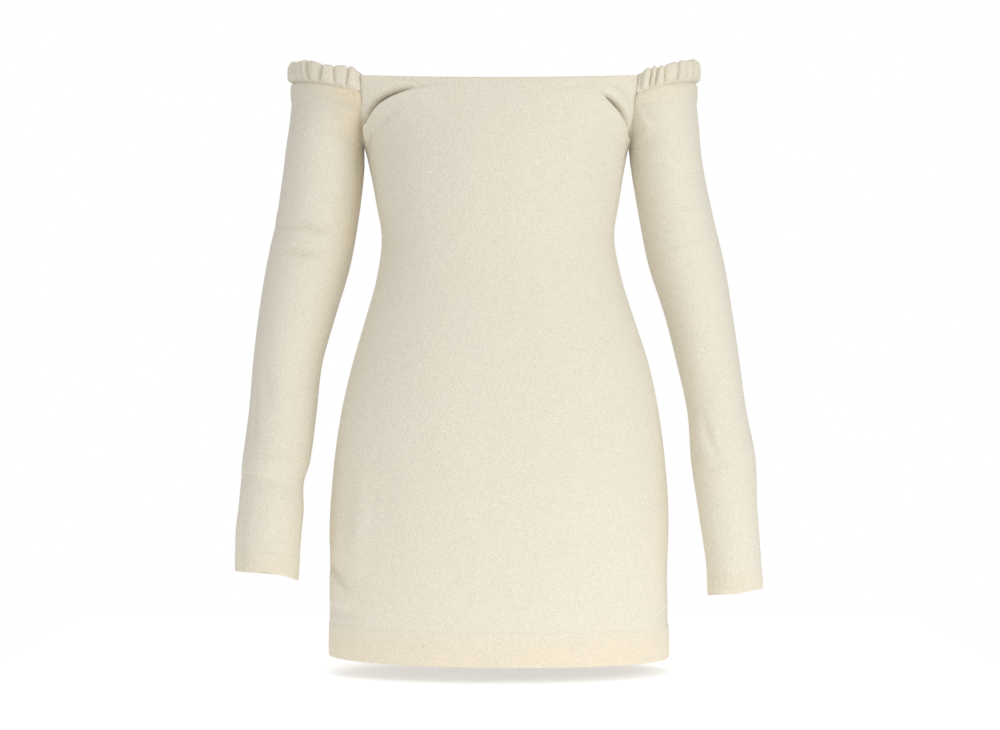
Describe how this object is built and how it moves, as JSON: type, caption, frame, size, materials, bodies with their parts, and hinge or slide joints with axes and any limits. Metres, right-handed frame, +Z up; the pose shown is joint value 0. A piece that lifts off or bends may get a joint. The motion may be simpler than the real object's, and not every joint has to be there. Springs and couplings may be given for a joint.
{
  "type": "mini dress",
  "caption": "Off-the-shoulder crepe mini dress, fitted and hollow, with long sleeves, gathered elastic shoulder bands and a straight neckline.",
  "frame": {"origin": "middle of the neckline's opening, level with its two front corners", "axes": "+Z up along the body, -Y the front of the dress, +X the viewer's right as the front is seen"},
  "size_m": [0.5622, 0.23, 0.6413],
  "materials": {
    "crepe": "matt ivory crepe with a fine pebbled grain"
  },
  "bodies": {
    "root": {"dress_front": "crepe", "dress_back": "crepe", "sleeve_left": "crepe", "sleeve_right": "crepe", "shoulder_band_left": "crepe", "shoulder_band_right": "crepe"}
  },
  "joints": []
}
